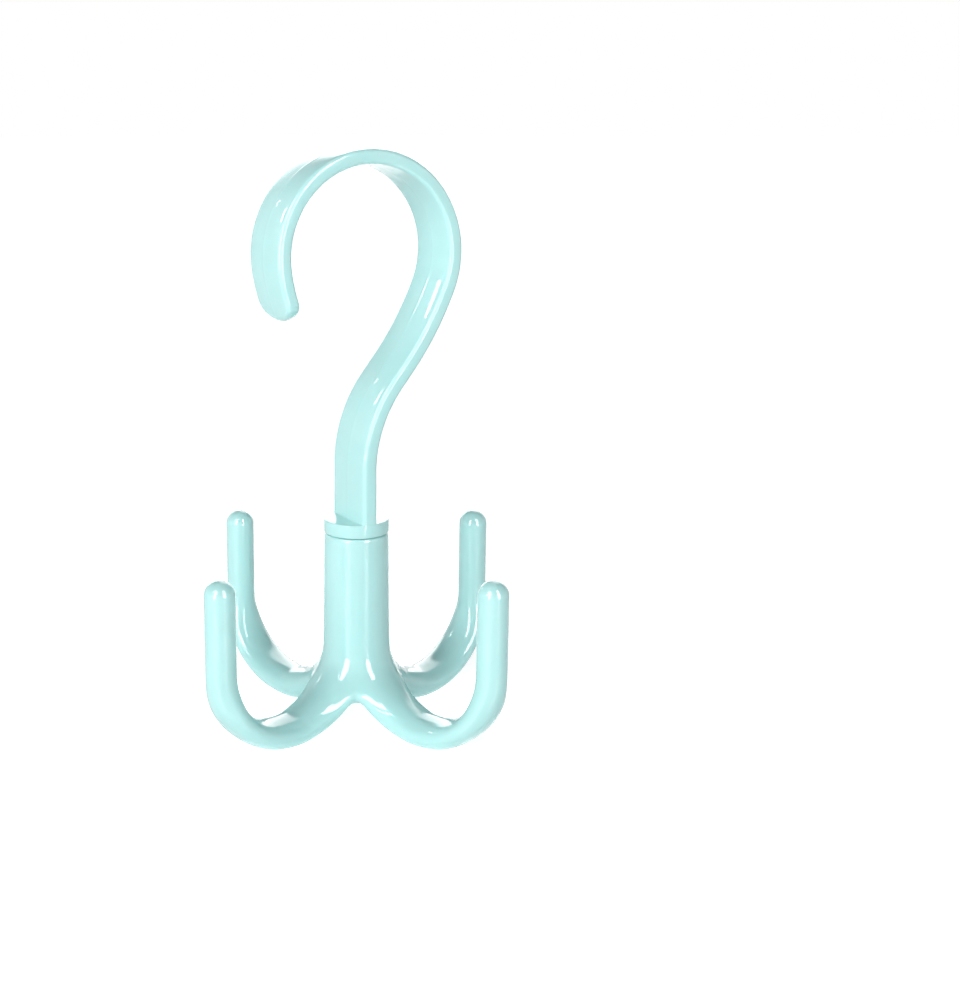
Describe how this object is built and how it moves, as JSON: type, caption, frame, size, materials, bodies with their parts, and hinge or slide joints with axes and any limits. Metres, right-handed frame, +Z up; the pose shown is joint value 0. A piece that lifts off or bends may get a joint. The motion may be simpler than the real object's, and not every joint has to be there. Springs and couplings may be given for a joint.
{
  "type": "swivel claw hanger",
  "caption": "Plastic wardrobe hanger: a flat-band hook that hangs on a rail and swivels on a round barrel with four upturned claws for belts, ties, bags and scarves.",
  "frame": {"origin": "on the swivel axis, level with the lowest points of the four claws", "axes": "+Z up along the swivel axis, +X to the right in the picture; the four claws stand on the diagonals between X and Y"},
  "size_m": [0.0736, 0.0736, 0.15],
  "materials": {
    "mint_plastic": "glossy mint moulding",
    "zinc_steel": "bright zinc plating"
  },
  "bodies": {
    "claws": {"claw_body": "mint_plastic"},
    "hook": {"swivel_hook": "mint_plastic", "retaining_washer": "zinc_steel", "retaining_screw": "zinc_steel"}
  },
  "joints": [
    {"name": "hook_swivel", "type": "hinge", "parent": "claws", "child": "hook", "pos_m": [0, 0, 0.052], "axis": [0, 0, 1], "continuous": true}
  ]
}
